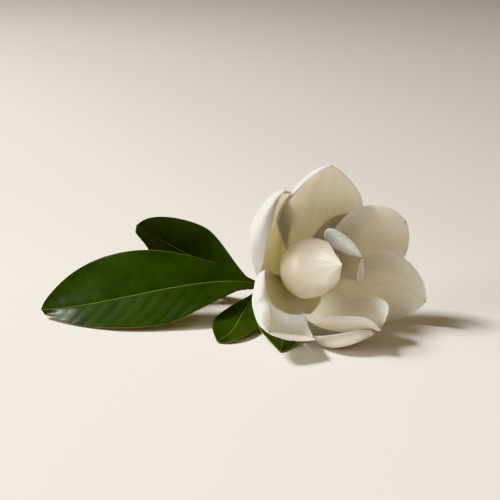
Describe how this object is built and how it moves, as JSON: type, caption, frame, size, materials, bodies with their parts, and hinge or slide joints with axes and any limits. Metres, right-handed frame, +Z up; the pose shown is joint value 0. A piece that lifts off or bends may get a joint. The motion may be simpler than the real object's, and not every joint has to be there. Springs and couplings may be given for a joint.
{
  "type": "magnolia flower",
  "caption": "Open ivory magnolia bloom with a closed egg-shaped middle, picked with a short woody twig and broad glossy leaves, lying on a surface.",
  "frame": {"origin": "centre of the bounding box at the surface that the flower lies on", "axes": "+Z up from the surface; +X along the flower's length, from the tip of the long leaf to the tepal that stands out on the right; -Y toward the viewer that the closed middle faces"},
  "size_m": [0.3422, 0.1488, 0.1366],
  "materials": {
    "tepal": "smooth waxy ivory petal, satin sheen",
    "leaf": "deep green leathery leaf, glossy above, rusty felt below",
    "bark": "matt brown young bark",
    "receptacle": "matt pale green plant tissue"
  },
  "bodies": {
    "root": {"receptacle": "receptacle", "twig": "bark", "tepal_top": "tepal", "tepal_upper_right": "tepal", "tepal_right": "tepal", "tepal_bottom": "tepal", "tepal_under": "tepal", "tepal_lower_left": "tepal", "tepal_left": "tepal", "tepal_inner_right": "tepal", "tepal_inner_top": "tepal", "closed_tepal_outer": "tepal", "closed_tepal_middle": "tepal", "closed_tepal_inner": "tepal", "leaf_left": "leaf", "leaf_back": "leaf", "leaf_low": "leaf", "leaf_front": "leaf"}
  },
  "joints": []
}
